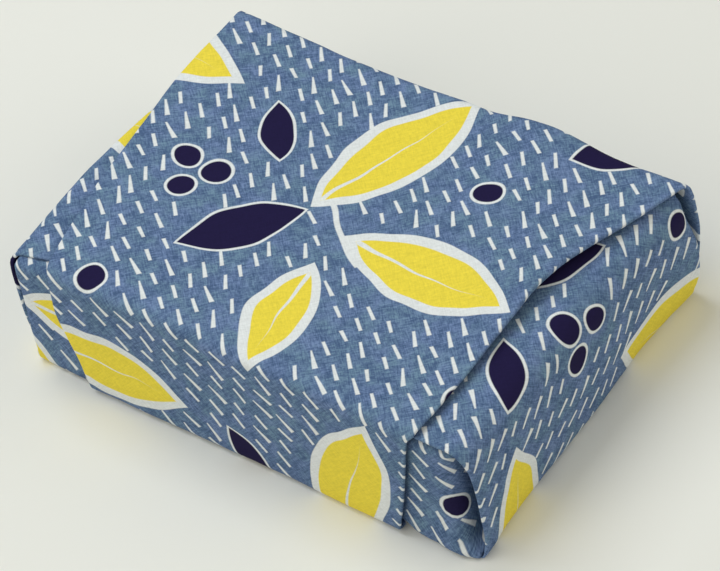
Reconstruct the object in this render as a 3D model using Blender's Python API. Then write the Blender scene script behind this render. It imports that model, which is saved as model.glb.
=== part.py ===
"""Furoshiki wrap: one square cotton cloth folded flat round a box-shaped parcel.

The cloth is a single folded sheet. A base panel lies under the parcel and four flaps rise from its edges:
the near flap goes up the front and a little way over the top, the two side flaps go up the ends and over the
top, and the closing flap goes up the back, over the top, down the front and under the base, where its hemmed
tip is tucked. Flap edges are folded in, the layers are a little apart, and nothing is inside.

Axes: X along the parcel, Y from front to back, Z up, origin on the floor under the parcel's centre. Metres.
"""
import math
from typing import NamedTuple

import bmesh
import bpy
from mathutils import Matrix, Vector

# Driving dimensions.
LENGTH = 0.160  # outside of the wrapped parcel along X
DEPTH = 0.119  # along Y
HEIGHT = 0.0475  # floor to the top of the closing flap
CLOTH = 0.0010  # thickness of the sheet
GAP = 0.0003  # air between two layers that lie on each other
TUCK = 0.011  # how far a flap's edge is folded in or carried round a corner
HEM = 0.0035  # width of the hem on the closing flap's tip
TOP_REACH_NEAR = 0.030  # how far the near flap lies over the top
TOP_REACH_SIDE = 0.043  # how far each side flap lies over the top
TIP_REACH = 0.0925  # how far the closing flap's tip goes under the base
ROOT = 0.0015  # overlap of a flap with the base panel it grows from
ROOT_THIN = 0.8  # share of the thickness at that overlap

# Folds and bends.
EDGE_RADIUS = 0.0025  # bend of the base panel into a flap, at the middle of the cloth
TOP_RADIUS = 0.0030  # bend of a side flap over the top edge
CLOSING_RADIUS = 0.0035  # bend of the closing flap over the top edges
UNDER_RADIUS = 0.0030  # bend of the closing flap under the base
TIGHT_CORNER = 0.0012  # a flap's turn round an upright corner near its ends
SMALLEST_TUCK = 0.0004
LIFT_REACH = 0.026  # how far in from a lifted edge the cloth is raised
PUFF = 0.8  # share of a lift that opens the fold under it

# Mesh fineness.
ARC_STEPS = 4
STRIP_STEPS = 2
BEND_STEPS = 4

LAYER = CLOTH + GAP
HALF_CLOTH = CLOTH / 2
HALF_LENGTH = LENGTH / 2
HALF_DEPTH = DEPTH / 2
FOLDED = 2 * LAYER  # what one folded edge adds to what it lies on
BASE_LEVEL = FOLDED + HALF_CLOTH  # middle of the base panel
TOP_CLOSING = HEIGHT - HALF_CLOTH
TOP_SIDE = TOP_CLOSING - FOLDED
TOP_NEAR = TOP_SIDE - FOLDED
FRONT_NEAR = -HALF_DEPTH + FOLDED + HALF_CLOTH
CORNER_NEAR = HALF_LENGTH - FOLDED  # outside of the near flap at the upright corners
CORNER_SIDE = HALF_DEPTH - FOLDED  # outside of a side flap at the back corners

CLOTH_BLUE = (0.125, 0.205, 0.330, 1.0)
CLOTH_ROUGHNESS = 0.92


class Station(NamedTuple):
    """A place on a flap's route: run is the leg's number plus the share of it that is behind."""
    run: float
    place: Vector
    outward: Vector


class Edge(NamedTuple):
    """One side of a flap's cross-section."""
    reach: float  # outermost point of the fold or corner
    tuck: float
    lift: float
    turn: float  # radius of the turn at an upright corner; a fold works out its own


class Row(NamedTuple):
    """A row of a flap's table: its two edges at one place along the route."""
    run: float
    low: Edge
    high: Edge


class Swell(NamedTuple):
    """A soft bulge or hollow: everything near its centre is pushed, less and less with distance."""
    centre: tuple
    spread: tuple
    push: tuple


# Near flap: legs 0 front, 1 top. Both edges turn round the upright corners under the side flaps.
NEAR_ROWS = (
    Row(0.00, Edge(-CORNER_NEAR, SMALLEST_TUCK, 0, TIGHT_CORNER),
        Edge(CORNER_NEAR, SMALLEST_TUCK, 0, TIGHT_CORNER)),
    Row(0.09, Edge(-CORNER_NEAR, SMALLEST_TUCK, 0, TIGHT_CORNER),
        Edge(CORNER_NEAR, SMALLEST_TUCK, 0, TIGHT_CORNER)),
    Row(0.35, Edge(-CORNER_NEAR, 0.0090, 0, 0.0020), Edge(CORNER_NEAR, 0.0070, 0, 0.0040)),
    Row(0.60, Edge(-CORNER_NEAR, 0.0090, 0, 0.0022), Edge(CORNER_NEAR, 0.0050, 0, 0.0062)),
    Row(0.75, Edge(-CORNER_NEAR, 0.0090, 0, 0.0020), Edge(CORNER_NEAR, 0.0060, 0, 0.0052)),
    Row(0.84, Edge(-CORNER_NEAR, 0.0060, 0, 0.0018), Edge(CORNER_NEAR, 0.0060, 0, 0.0030)),
    Row(0.92, Edge(-CORNER_NEAR, SMALLEST_TUCK, 0, TIGHT_CORNER),
        Edge(CORNER_NEAR, SMALLEST_TUCK, 0, TIGHT_CORNER)),
    Row(2.00, Edge(-CORNER_NEAR, SMALLEST_TUCK, 0, TIGHT_CORNER),
        Edge(CORNER_NEAR, SMALLEST_TUCK, 0, TIGHT_CORNER)),
)

# Side flaps: legs 0 end, 1 top. The low edge is the fold at the front, the high edge turns the back corner.
SIDE_FRONT = -CORNER_SIDE + 0.0002
SIDE_RIGHT_ROWS = (
    Row(0.00, Edge(SIDE_FRONT, SMALLEST_TUCK, 0, 0), Edge(CORNER_SIDE, SMALLEST_TUCK, 0, TIGHT_CORNER)),
    Row(0.09, Edge(SIDE_FRONT, SMALLEST_TUCK, 0, 0), Edge(CORNER_SIDE, SMALLEST_TUCK, 0, TIGHT_CORNER)),
    Row(0.35, Edge(SIDE_FRONT + 0.0004, 0.0090, 0.0003, 0), Edge(CORNER_SIDE, 0.0090, 0, 0.0025)),
    Row(0.62, Edge(SIDE_FRONT + 0.0012, 0.0090, 0.0010, 0), Edge(CORNER_SIDE, 0.0090, 0, 0.0030)),
    Row(0.78, Edge(SIDE_FRONT + 0.0010, TUCK, 0.0007, 0), Edge(CORNER_SIDE, 0.0090, 0, 0.0024)),
    Row(0.92, Edge(SIDE_FRONT, TUCK, 0, 0), Edge(CORNER_SIDE, SMALLEST_TUCK, 0, TIGHT_CORNER)),
    Row(2.00, Edge(SIDE_FRONT, TUCK, 0, 0), Edge(CORNER_SIDE, SMALLEST_TUCK, 0, TIGHT_CORNER)),
)
SIDE_LEFT_ROWS = (
    Row(0.00, Edge(SIDE_FRONT, SMALLEST_TUCK, 0, 0), Edge(CORNER_SIDE, SMALLEST_TUCK, 0, TIGHT_CORNER)),
    Row(0.09, Edge(SIDE_FRONT, SMALLEST_TUCK, 0, 0), Edge(CORNER_SIDE, SMALLEST_TUCK, 0, TIGHT_CORNER)),
    Row(0.35, Edge(SIDE_FRONT, 0.0090, 0, 0), Edge(CORNER_SIDE, 0.0090, 0, 0.0025)),
    Row(0.65, Edge(SIDE_FRONT + 0.0004, 0.0090, 0.0003, 0), Edge(CORNER_SIDE, 0.0090, 0, 0.0025)),
    Row(0.85, Edge(SIDE_FRONT, TUCK, 0, 0), Edge(CORNER_SIDE, 0.0090, 0, 0.0022)),
    Row(0.92, Edge(SIDE_FRONT, TUCK, 0, 0), Edge(CORNER_SIDE, SMALLEST_TUCK, 0, TIGHT_CORNER)),
    Row(2.00, Edge(SIDE_FRONT, TUCK, 0, 0), Edge(CORNER_SIDE, SMALLEST_TUCK, 0, TIGHT_CORNER)),
)

# Closing flap: legs 0 back, 1 top, 2 front, 3 under. Both edges are folds, drawn in from the ends.
CLOSING_ROWS = (
    Row(0.00, Edge(-0.0798, SMALLEST_TUCK, 0, 0), Edge(0.0798, SMALLEST_TUCK, 0, 0)),
    Row(0.09, Edge(-0.0798, SMALLEST_TUCK, 0, 0), Edge(0.0798, SMALLEST_TUCK, 0, 0)),
    Row(0.30, Edge(-0.0798, 0.0090, 0.0002, 0), Edge(0.0802, 0.0090, 0.0004, 0)),
    Row(0.50, Edge(-0.0799, TUCK, 0.0003, 0), Edge(0.0809, TUCK, 0.0009, 0)),
    Row(0.72, Edge(-0.0798, TUCK, 0.0002, 0), Edge(0.0811, TUCK, 0.0010, 0)),
    Row(0.90, Edge(-0.0797, TUCK, 0.0001, 0), Edge(0.0802, TUCK, 0.0006, 0)),
    Row(1.00, Edge(-0.0795, TUCK, 0, 0), Edge(0.0790, TUCK, 0.0003, 0)),
    Row(1.20, Edge(-0.0775, TUCK, 0.0002, 0), Edge(0.0735, TUCK, 0.0012, 0)),
    Row(1.46, Edge(-0.0746, TUCK, 0.0003, 0), Edge(0.0660, TUCK, 0.0022, 0)),
    Row(1.70, Edge(-0.0718, TUCK, 0.0003, 0), Edge(0.0622, TUCK, 0.0012, 0)),
    Row(2.00, Edge(-0.0694, TUCK, 0, 0), Edge(0.0616, TUCK, 0.0001, 0)),
    Row(2.50, Edge(-0.0655, TUCK, 0.0001, 0), Edge(0.0560, TUCK, 0.0002, 0)),
    Row(3.00, Edge(-0.0624, TUCK, 0, 0), Edge(0.0512, TUCK, 0, 0)),
    Row(3.32, Edge(-0.0585, HEM, 0, 0), Edge(0.0470, HEM, 0, 0)),
    Row(4.00, Edge(-0.0080, HEM, 0, 0), Edge(0.0050, HEM, 0, 0)),
)

# Where the wrapped parcel is uneven. A centre is given in halves of the length and depth, and in heights.
SWELLS = (
    Swell((0.46, 0.95, 0.97), (0.021, 0.021, 0.021), (0, 0, 0.0015)),  # layers heaped at the back
    Swell((-0.44, 0.95, 0.97), (0.026, 0.026, 0.026), (0, 0, -0.0019)),  # the back edge sags on the left
    Swell((-0.98, -0.45, 0.80), (0.025, 0.025, 0.025), (-0.0022, 0, 0.0004)),  # left end stands out
    Swell((0.00, 0.00, 0.97), (0.032, 0.032, 0.032), (0, 0, -0.0010)),  # the top dips in the middle
    Swell((-0.56, -0.52, 0.97), (0.020, 0.020, 0.020), (0, 0, 0.0007)),
    Swell((0.56, -0.60, 0.97), (0.018, 0.018, 0.018), (0, 0, -0.0006)),
    Swell((1.00, 0.25, 0.95), (0.007, 0.032, 0.007), (-0.0017, 0, -0.0016)),  # right top edge is soft
    Swell((1.00, 0.00, 0.46), (0.026, 0.026, 0.020), (0.0010, 0, 0)),  # right end bulges
    Swell((-0.12, -1.00, 0.46), (0.034, 0.034, 0.034), (0, 0.0009, 0)),  # the front is slightly hollow
    Swell((0.00, 1.00, 0.46), (0.034, 0.034, 0.034), (0, 0.0007, 0)),
    Swell((-1.00, -1.00, 0.09), (0.010, 0.010, 0.010), (0.0012, 0.0008, 0)),  # front left foot drawn in
    Swell((1.00, 1.00, 0.14), (0.012, 0.012, 0.012), (-0.0008, -0.0006, 0)),
    Swell((1.00, -1.00, 0.06), (0.013, 0.013, 0.010), (0.0011, -0.0011, 0)),  # front right foot sticks out
)
FLAT_BELOW = 0.004  # no swell lifts what lies lower than this
FREE_ABOVE = 0.014


def clear_scene():
    for thing in list(bpy.data.objects):
        bpy.data.objects.remove(thing, do_unlink=True)


def route(points, radii, legs):
    """Stations along a line of straight legs that turns left in round bends; outward is to its right."""
    stations = []
    lengths = [(end - start).length for start, end in zip(points, points[1:])]
    for number, (start, end) in enumerate(zip(points, points[1:])):
        length = lengths[number]
        along = (end - start) / length
        outward = Vector((along.y, -along.x))
        first = radii[number - 1] / length if number else 0.0
        last = 1 - radii[number] / length if number < len(radii) else 1.0
        for share in legs[number]:
            share = first + (last - first) * share
            stations.append(Station(number + share, start + along * length * share, outward))
        if number == len(radii):
            break
        radius = radii[number]
        centre = end - along * radius - outward * radius
        for step in range(1, BEND_STEPS):
            angle = math.pi / 2 * step / BEND_STEPS
            lean = outward * math.cos(angle) + along * math.sin(angle)
            past = (2 * step / BEND_STEPS - 1) * radius
            run = number + 1 + past / lengths[number + (past > 0)]
            stations.append(Station(run, centre + lean * radius, lean))
    return stations


def blend(low, high, share):
    return Edge(*(a + (b - a) * share for a, b in zip(low, high)))


def edges_at(rows, run):
    """The two edges at a place along the route, in between the table's rows."""
    for before, after in zip(rows, rows[1:]):
        if run <= after.run:
            share = (max(run, before.run) - before.run) / (after.run - before.run)
            return blend(before.low, after.low, share), blend(before.high, after.high, share)
    return rows[-1].low, rows[-1].high


def raised(distance, lift):
    """Height of the cloth at a distance in from a lifted edge."""
    share = max(0.0, 1 - distance / LIFT_REACH)
    return lift * share * share * (3 - 2 * share)


def half_section(edge, side, height):
    """Points from the start of an edge's turn to the end of its tuck. side is 1 or -1 across the flap."""
    points = []
    if edge.turn:
        centre = Vector((edge.reach - side * (edge.turn + HALF_CLOTH), -edge.turn))
        for step in range(ARC_STEPS + 1):
            angle = math.pi / 2 * step / ARC_STEPS
            points.append(centre + edge.turn * Vector((side * math.sin(angle), math.cos(angle))))
        for step in range(1, STRIP_STEPS + 1):
            points.append(points[ARC_STEPS] - Vector((0, edge.tuck * step / STRIP_STEPS)))
        return points
    radius = (LAYER + PUFF * edge.lift) / 2
    middle = edge.reach - side * (radius + HALF_CLOTH)
    top = height(middle)
    for step in range(ARC_STEPS + 1):
        angle = math.pi * step / ARC_STEPS
        out = Vector((side * math.sin(angle), math.cos(angle) - 1))
        points.append(Vector((middle, top)) + radius * out)
    for step in range(1, STRIP_STEPS + 1):
        across = middle - side * edge.tuck * step / STRIP_STEPS
        points.append(Vector((across, height(across) - LAYER)))
    return points


def section(low, high, steps):
    """Middle line of a flap's cross-section, from the tuck at its low edge to the tuck at its high edge."""
    def height(across):
        return raised(across - low.reach, low.lift) + raised(high.reach - across, high.lift)

    left = half_section(low, -1, height)
    right = half_section(high, 1, height)
    start, end = left[0].x, right[0].x
    line = [start + (end - start) * step / steps for step in range(1, steps)]
    return left[::-1] + [Vector((across, height(across))) for across in line] + right


def offset(points, distance):
    """The line moved sideways by a distance, mitred at its corners."""
    moved = []
    for index, point in enumerate(points):
        before = points[max(index - 1, 0)]
        after = points[min(index + 1, len(points) - 1)]
        into = (point - before).normalized() if index else (after - point).normalized()
        out = (after - point).normalized() if index < len(points) - 1 else into
        normal = (Vector((-into.y, into.x)) + Vector((-out.y, out.x))).normalized()
        mitre = 1 / max(normal.dot(Vector((-into.y, into.x))), 0.5)
        moved.append(point + normal * distance * mitre)
    return moved


def sheet(name, stations, rows, steps, place):
    """A closed flap: its thick cross-section carried along its route. place puts a point into the scene."""
    mesh = bpy.data.meshes.new(name)
    shape = bmesh.new()
    loops = []
    for index, station in enumerate(stations):
        middle = section(*edges_at(rows, station.run), steps)
        thickness = CLOTH * (ROOT_THIN if index == 0 else 1.0)
        both = offset(middle, thickness / 2), offset(middle, -thickness / 2)
        loops.append([
            [shape.verts.new(place(point.x, station.place + station.outward * point.y)) for point in line]
            for line in both
        ])
    for (upper, lower), (next_upper, next_lower) in zip(loops, loops[1:]):
        for index in range(len(upper) - 1):
            shape.faces.new((upper[index], upper[index + 1], next_upper[index + 1], next_upper[index]))
            shape.faces.new((lower[index + 1], lower[index], next_lower[index], next_lower[index + 1]))
        for index, turned in ((0, False), (-1, True)):
            ring = (upper[index], next_upper[index], next_lower[index], lower[index])
            shape.faces.new(ring[::-1] if turned else ring)
    for (upper, lower), turned in ((loops[0], False), (loops[-1], True)):
        for index in range(len(upper) - 1):
            ring = (lower[index], lower[index + 1], upper[index + 1], upper[index])
            shape.faces.new(ring[::-1] if turned else ring)
    bmesh.ops.recalc_face_normals(shape, faces=shape.faces)
    shape.to_mesh(mesh)
    shape.free()
    return add_object(name, mesh)


def add_object(name, mesh):
    thing = bpy.data.objects.new(name, mesh)
    bpy.context.collection.objects.link(thing)
    return thing


def block(name, low, high, cuts):
    """A box between two corners, with its long faces cut into a grid."""
    mesh = bpy.data.meshes.new(name)
    shape = bmesh.new()
    bmesh.ops.create_cube(shape, size=1.0)
    for vertex in shape.verts:
        vertex.co = Vector([a + (b - a) * (c + 0.5) for a, b, c in zip(low, high, vertex.co)])
    for axis, count in enumerate(cuts):
        for step in range(1, count):
            spot = Vector(low)
            spot[axis] += (high[axis] - low[axis]) * step / count
            normal = Vector((0, 0, 0))
            normal[axis] = 1
            parts = shape.verts[:] + shape.edges[:] + shape.faces[:]
            bmesh.ops.bisect_plane(shape, geom=parts, plane_co=spot, plane_no=normal)
    shape.to_mesh(mesh)
    shape.free()
    return add_object(name, mesh)


def corner_fold(name, corner, across, depth_axis, layers, run):
    """The slanting fold at a foot of the parcel, where a flap's corner turns back on itself.

    corner is the foot's place on the face, across the direction along the face, depth_axis the face's
    outward direction, layers the inner and outer limits along it, and run where the fold starts and ends.
    """
    mesh = bpy.data.meshes.new(name)
    shape = bmesh.new()
    slant = (across + Vector((0, 0, 1))).normalized()
    side = (across - Vector((0, 0, 1))).normalized()
    inset = 0.00025
    profile = (
        (-HALF_CLOTH, layers[0]), (inset, layers[0]), (HALF_CLOTH, layers[0] + HALF_CLOTH),
        (HALF_CLOTH, layers[1] - HALF_CLOTH), (inset, layers[1]), (-HALF_CLOTH, layers[1]),
    )
    rings = [
        [shape.verts.new(corner + slant * length + side * wide + depth_axis * deep) for wide, deep in profile]
        for length in run
    ]
    for index in range(len(profile)):
        after = (index + 1) % len(profile)
        shape.faces.new((rings[0][index], rings[0][after], rings[1][after], rings[1][index]))
    shape.faces.new(rings[0][::-1])
    shape.faces.new(rings[1])
    bmesh.ops.recalc_face_normals(shape, faces=shape.faces)
    shape.to_mesh(mesh)
    shape.free()
    return add_object(name, mesh)


def near_flap():
    points = [
        Vector((-FRONT_NEAR - EDGE_RADIUS - ROOT, BASE_LEVEL)), Vector((-FRONT_NEAR, BASE_LEVEL)),
        Vector((-FRONT_NEAR, TOP_NEAR)), Vector((-FRONT_NEAR - TOP_REACH_NEAR, TOP_NEAR)),
    ]
    stations = flap_route(points, [EDGE_RADIUS, EDGE_RADIUS],
                          [(0.0,), (0, 0.12, 0.3, 0.5, 0.68, 0.82, 0.92, 1), (0, 0.35, 1)])
    return sheet("near_flap", stations, NEAR_ROWS, 8, lambda across, at: Vector((across, -at.x, at.y)))


def side_flap(name, sign, rows):
    middle = HALF_LENGTH - HALF_CLOTH
    points = [
        Vector((middle - EDGE_RADIUS - ROOT, BASE_LEVEL)), Vector((middle, BASE_LEVEL)),
        Vector((middle, TOP_SIDE)), Vector((middle - TOP_REACH_SIDE, TOP_SIDE)),
    ]
    stations = flap_route(points, [EDGE_RADIUS, TOP_RADIUS],
                          [(0.0,), (0, 0.12, 0.3, 0.5, 0.68, 0.85, 0.93, 1), (0, 0.3, 0.65, 1)])
    return sheet(name, stations, rows, 7, lambda across, at: Vector((sign * at.x, across, at.y)))


def closing_flap():
    middle = HALF_DEPTH - HALF_CLOTH
    points = [
        Vector((middle - EDGE_RADIUS - ROOT, BASE_LEVEL)), Vector((middle, BASE_LEVEL)),
        Vector((middle, TOP_CLOSING)), Vector((-middle, TOP_CLOSING)),
        Vector((-middle, HALF_CLOTH)), Vector((-middle + TIP_REACH, HALF_CLOTH)),
    ]
    stations = flap_route(points, [EDGE_RADIUS, CLOSING_RADIUS, CLOSING_RADIUS, UNDER_RADIUS],
                          [(0.0,), (0, 0.12, 0.3, 0.5, 0.7, 0.88, 1), (0, 0.1, 0.25, 0.4, 0.55, 0.7, 0.85, 1),
                           (0, 0.35, 0.7, 1), (0, 0.3, 0.65, 1)])
    return sheet("closing_flap", stations, CLOSING_ROWS, 10, lambda across, at: Vector((across, at.x, at.y)))


def flap_route(points, radii, legs):
    """A route whose first, short leg lies in the base panel; the legs after it are numbered from 0."""
    stations = route(points, radii, legs)
    return [station._replace(run=station.run - 1) for station in stations]


def base_panel():
    reach = 0.0004
    low = (-CORNER_NEAR, FRONT_NEAR + EDGE_RADIUS - reach, BASE_LEVEL - HALF_CLOTH)
    high = (CORNER_NEAR, HALF_DEPTH - HALF_CLOTH - EDGE_RADIUS + reach, BASE_LEVEL + HALF_CLOTH)
    return block("furoshiki_cloth", low, high, (8, 6, 1))


def corner_folds():
    margin = 0.0001
    run = (0.0045, 0.0125)
    inner, outer = FOLDED + CLOTH - margin, LAYER + margin
    folds = []
    for sign, name in ((1, "right"), (-1, "left")):
        front = Vector((sign * HALF_LENGTH, -CORNER_SIDE, BASE_LEVEL))
        folds.append(corner_fold(f"front_{name}", front, Vector((0, 1, 0)), Vector((-sign, 0, 0)),
                                 (inner, outer), run))
        back = Vector((sign * HALF_LENGTH, HALF_DEPTH, BASE_LEVEL))
        folds.append(corner_fold(f"back_{name}", back, Vector((-sign, 0, 0)), Vector((0, -1, 0)),
                                 (inner, outer), run))
    return folds


def unite(target, others):
    """Joins closed bodies that overlap into one."""
    for other in others:
        cut = target.modifiers.new(other.name, "BOOLEAN")
        cut.operation = "UNION"
        cut.solver = "EXACT"
        cut.object = other
    graph = bpy.context.evaluated_depsgraph_get()
    joined = bpy.data.meshes.new_from_object(target.evaluated_get(graph))
    target.modifiers.clear()
    target.data = joined
    for other in others:
        bpy.data.objects.remove(other, do_unlink=True)


def smooth_share(value, low, high):
    share = min(max((value - low) / (high - low), 0.0), 1.0)
    return share * share * (3 - 2 * share)


def uneven(mesh):
    """Pushes the whole cloth by the table of swells, keeping its underside flat on the floor."""
    for vertex in mesh.vertices:
        start = vertex.co.copy()
        free = smooth_share(start.z, FLAT_BELOW, FREE_ABOVE)
        for swell in SWELLS:
            away = start - Vector(swell.centre) * Vector((HALF_LENGTH, HALF_DEPTH, HEIGHT))
            spreads = sum((along / spread) ** 2 for along, spread in zip(away, swell.spread))
            weight = math.exp(-spreads / 2)
            push = Vector(swell.push) * weight
            vertex.co += Vector((push.x, push.y, push.z * free))


def centre(mesh):
    """Puts the floor point under the middle of the cloth's bounding box at the origin."""
    low = [min(vertex.co[axis] for vertex in mesh.vertices) for axis in range(3)]
    high = [max(vertex.co[axis] for vertex in mesh.vertices) for axis in range(3)]
    mesh.transform(Matrix.Translation((-(low[0] + high[0]) / 2, -(low[1] + high[1]) / 2, -low[2])))


def cloth_material():
    finish = bpy.data.materials.new("cotton_cloth")
    finish.use_nodes = True
    shader = finish.node_tree.nodes["Principled BSDF"]
    shader.inputs["Base Color"].default_value = CLOTH_BLUE
    shader.inputs["Roughness"].default_value = CLOTH_ROUGHNESS
    shader.inputs["Metallic"].default_value = 0.0
    return finish


def main():
    clear_scene()
    cloth = base_panel()
    parts = [
        near_flap(), side_flap("side_flap_right", 1, SIDE_RIGHT_ROWS),
        side_flap("side_flap_left", -1, SIDE_LEFT_ROWS), closing_flap(),
    ]
    unite(cloth, parts + corner_folds())
    uneven(cloth.data)
    centre(cloth.data)
    cloth.data.materials.clear()
    cloth.data.materials.append(cloth_material())
    cloth.data.shade_smooth()
    cloth.data.set_sharp_from_angle(angle=math.radians(50))


main()
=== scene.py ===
"""Looks of the furoshiki wrap: one printed cotton square, folded flat round a box-shaped parcel.

The cloth is built as one thin, connected sheet. A base panel lies under the parcel, and four flaps rise
from its rim: the near flap in front, the two side flaps at the ends, and the closing flap, which comes up
the back, goes over the top and down the front, and has its tip tucked under the base. At each foot the
cloth between two flaps is folded into a slanting pleat, so the sheet is joined all round. Every point keeps
its place on the flat square, and the print and the weave are drawn there, at 45 degrees to the parcel.

Axes: X along the parcel, Y from front to back, Z up, in metres, in the frame of the CAD model.
"""
import logging
import math
from dataclasses import dataclass, field
from enum import Enum
from functools import partialmethod, reduce
from typing import Callable, Iterable, NamedTuple, Sequence

import bmesh
import bpy
import numpy as np
from bmesh.types import BMVert
from mathutils import Matrix, Vector, noise


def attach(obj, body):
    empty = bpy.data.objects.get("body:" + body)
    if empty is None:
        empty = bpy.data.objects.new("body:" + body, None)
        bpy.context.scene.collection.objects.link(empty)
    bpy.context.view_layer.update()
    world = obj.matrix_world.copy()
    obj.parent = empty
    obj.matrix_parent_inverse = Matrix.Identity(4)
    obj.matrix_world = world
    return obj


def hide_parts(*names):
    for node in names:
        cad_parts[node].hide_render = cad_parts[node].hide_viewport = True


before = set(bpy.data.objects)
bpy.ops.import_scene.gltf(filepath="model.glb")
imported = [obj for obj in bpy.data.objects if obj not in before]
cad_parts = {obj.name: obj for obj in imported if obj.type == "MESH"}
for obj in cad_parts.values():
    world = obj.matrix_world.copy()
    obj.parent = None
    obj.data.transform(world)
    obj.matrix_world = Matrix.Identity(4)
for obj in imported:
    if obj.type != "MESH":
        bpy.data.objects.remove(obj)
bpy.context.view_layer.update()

PLAN_MAP = "cloth_plan"
TINY = 1e-6
MM_PER_METRE = 1000
# Runs along a flap's route: below the first it may be in the foot's bend, past the second it is on the top.
ON_THE_WALL = 0.5
OVER_THE_TOP = 1.02
# The sockets for colours of a Mix node, which go by number.
MIX_SHARE, MIX_FIRST, MIX_SECOND, MIX_RESULT = 0, 6, 7, 2

log = logging.getLogger("furoshiki")


# ---------------------------------------------------------------- folding the sheet

class Station(NamedTuple):
    """A place on a flap's route. run is the leg's number and the share of it behind, flat the cloth used."""
    run: float
    flat: float
    place: Vector
    outward: Vector


class Bend(NamedTuple):
    """A round bend of a route, and the number of steps that it is cut into."""
    radius: float
    steps: int


class Edge(NamedTuple):
    """One side of a flap's cross-section: a turn at its outermost point, and the layer that it leads to."""
    reach: float
    tuck: float
    lift: float
    radius: float
    angle: float


class Row(NamedTuple):
    """How far a fold reaches, how much it lifts and how round it is at one place along a flap."""
    run: float
    reach: float
    lift: float = 0.0
    radius: float = 0.0


class Swell(NamedTuple):
    """A soft bulge or hollow. The centre is in halves of the length and depth, and in heights."""
    centre: tuple[float, float, float]
    spread: tuple[float, float, float]
    push: tuple[float, float, float]


class Crease(NamedTuple):
    """A soft trough or ridge along a line between two places, given as a swell's centre is."""
    start: tuple[float, float, float]
    end: tuple[float, float, float]
    width: float
    push: tuple[float, float, float]


@dataclass(frozen=True)
class Parcel:
    """Driving sizes of the folded parcel. The levels are those of the middle of the cloth."""
    length: float = 0.160
    depth: float = 0.119
    height: float = 0.0475
    square: float = 0.500
    cloth: float = 0.00045
    layer: float = 0.0012
    fold: float = 0.0007
    thin_fold: float = 0.0006
    base_level: float = 0.0028
    foot_radius: float = 0.0025
    foot_steps: int = 5
    lead: float = 0.010
    parting: float = 0.0065
    pleat_top: float = 0.0355
    pitch: float = 0.0019
    hidden_pitch: float = 0.009
    shift: Vector = field(default_factory=lambda: Vector((0.00055, -0.00045, 0.0)))

    @property
    def end(self) -> float:
        """Level of the side flaps along X."""
        return self.length / 2 - self.cloth / 2

    @property
    def back(self) -> float:
        """Level of the closing flap along Y."""
        return self.depth / 2 - self.cloth / 2

    @property
    def front(self) -> float:
        """Level of the near flap, two layers behind the closing flap."""
        return self.back - 2 * self.layer

    @property
    def top(self) -> float:
        """Level of the closing flap along Z."""
        return self.height - self.cloth / 2

    @property
    def foot(self) -> Bend:
        """The bend at the foot, which all flaps share, so that their rows meet in the pleats."""
        return Bend(self.foot_radius, self.foot_steps)

    @property
    def approach(self) -> tuple[float]:
        """The one station of a route's first leg, on the base panel's rim."""
        return (self.lead - self.foot_radius,)

    @property
    def wall_rows(self) -> list[float]:
        """Distances up a wall at which all flaps have a row, as far as the pleats reach."""
        return spaced(self.foot_radius, self.pleat_top - self.base_level, self.pitch)

    def place(self, share: Sequence[float]) -> np.ndarray:
        """A place that is given in halves of the length and depth, and in heights."""
        return np.array(share) * (self.length / 2, self.depth / 2, self.height)


def smooth_share(value: float | np.ndarray, low: float, high: float) -> float | np.ndarray:
    """0 below low, 1 above high, and a smooth step between them, for one value or for many."""
    share = np.clip((value - low) / (high - low), 0, 1)
    return share * share * (3 - 2 * share)


def spaced(start: float, end: float, pitch: float) -> list[float]:
    """Even steps from start to end, about a pitch apart.

    Args:
        start: first value.
        end: last value.
        pitch: the distance aimed at.

    Returns:
        The values, both ends included.
    """
    count = max(1, round((end - start) / pitch))
    return [start + (end - start) * step / count for step in range(count + 1)]


def route(points: Sequence[Vector], bends: Sequence[Bend], legs: Sequence[Sequence[float]]) -> list[Station]:
    """Stations along straight legs that turn left in round bends; outward is to the right.

    Args:
        points: the corners, which the bends cut short.
        bends: the bend at each inner corner.
        legs: for each leg, the distances from its first corner at which there is a station.

    Returns:
        The stations. The first leg is number -1.
    """
    found: list[tuple[float, Vector, Vector]] = []
    lengths = [(end - start).length for start, end in zip(points, points[1:])]
    for number, (start, end) in enumerate(zip(points, points[1:])):
        along = (end - start) / lengths[number]
        outward = Vector((along.y, -along.x))
        for distance in legs[number]:
            found.append((number - 1 + distance / lengths[number], start + along * distance, outward))
        if number == len(bends):
            break
        radius, steps = bends[number]
        centre = end - along * radius - outward * radius
        for step in range(1, steps):
            angle = math.pi / 2 * step / steps
            lean = outward * math.cos(angle) + along * math.sin(angle)
            past = (2 * step / steps - 1) * radius
            found.append((number + past / lengths[number + (past > 0)], centre + lean * radius, lean))
    stations: list[Station] = []
    flat = 0.0
    for run, place, outward in found:
        flat += (place - stations[-1].place).length if stations else 0.0
        stations.append(Station(run, flat, place, outward))
    return stations


def row_at(rows: Sequence[Row], run: float) -> Row:
    """The values at a place along a flap, on a smooth curve through the table's rows.

    Args:
        rows: the table, in the order of its runs.
        run: the place. Before the first row and past the last one, the curve stays level.

    Returns:
        The values there.
    """
    table = np.array(rows)
    runs = table[:, 0]
    inside = np.clip(run, runs[0], runs[-1])
    number = max(int(np.searchsorted(runs, inside)) - 1, 0)
    gap = runs[number + 1] - runs[number]
    share = (inside - runs[number]) / gap
    slopes = []
    for index in (number, number + 1):
        low, high = table[max(index - 1, 0)], table[min(index + 1, len(rows) - 1)]
        slopes.append((high - low) / (high[0] - low[0]) * gap)
    first, last = table[number], table[number + 1]
    level = (first - last) * (2 * share - 3) * share * share + first
    return Row(*(level + slopes[0] * share * (1 - share) ** 2 + slopes[1] * share * share * (share - 1)))


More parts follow.
